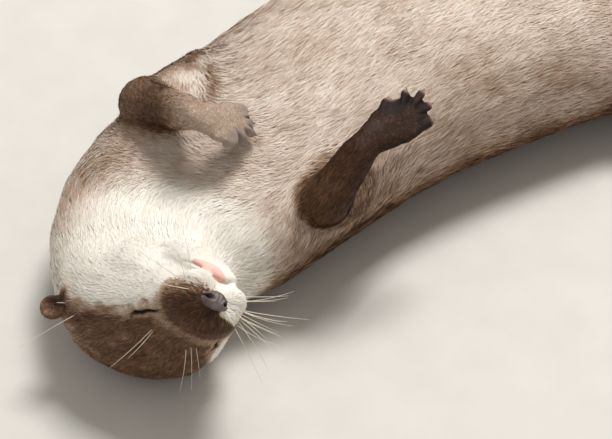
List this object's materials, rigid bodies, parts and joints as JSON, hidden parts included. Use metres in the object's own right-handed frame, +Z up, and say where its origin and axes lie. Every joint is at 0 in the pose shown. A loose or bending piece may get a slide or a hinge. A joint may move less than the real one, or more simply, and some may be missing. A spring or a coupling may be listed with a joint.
{
  "type": "sleeping otter figure",
  "caption": "Life-size small-clawed otter asleep on its back, head turned aside, one forepaw on its chest, for resting on a floor or plinth.",
  "frame": {"origin": "under the middle of the model's bounding box, on the floor it lies on", "axes": "+X from the shoulders towards the tail, +Y to the otter's left, +Z up; the otter lies on its back, so its belly faces +Z"},
  "size_m": [0.6576, 0.2506, 0.1131],
  "materials": {
    "fur_brown": "short dark brown fur, matt",
    "fur_limb": "short brown fur of the legs and tail, matt",
    "fur_cream": "cream fur of the throat, matt",
    "fur_tan": "pale tan fur of chest and belly, matt",
    "paw_skin": "bare grey-brown skin of fingers and toes",
    "nose_leather": "bare moist nose pad",
    "eye": "dark glossy eye behind closed lids"
  },
  "bodies": {
    "root": {"belly": "fur_tan", "chest": "fur_tan", "ear_left": "fur_brown", "ear_right": "fur_brown", "eye_left": "eye", "eye_right": "eye", "forearm_left": "fur_limb", "forearm_right": "fur_limb", "forepaw_left": "paw_skin", "forepaw_right": "paw_skin", "head": "fur_brown", "hind_foot_left": "paw_skin", "hind_foot_right": "paw_skin", "hips": "fur_tan", "lower_jaw": "fur_cream", "neck": "fur_cream", "nose": "nose_leather", "shank_left": "fur_limb", "shank_right": "fur_limb", "tail_base": "fur_limb", "tail_middle": "fur_limb", "tail_tip": "fur_limb", "thigh_left": "fur_tan", "thigh_right": "fur_tan", "upper_arm_left": "fur_tan", "upper_arm_right": "fur_tan"}
  },
  "joints": []
}
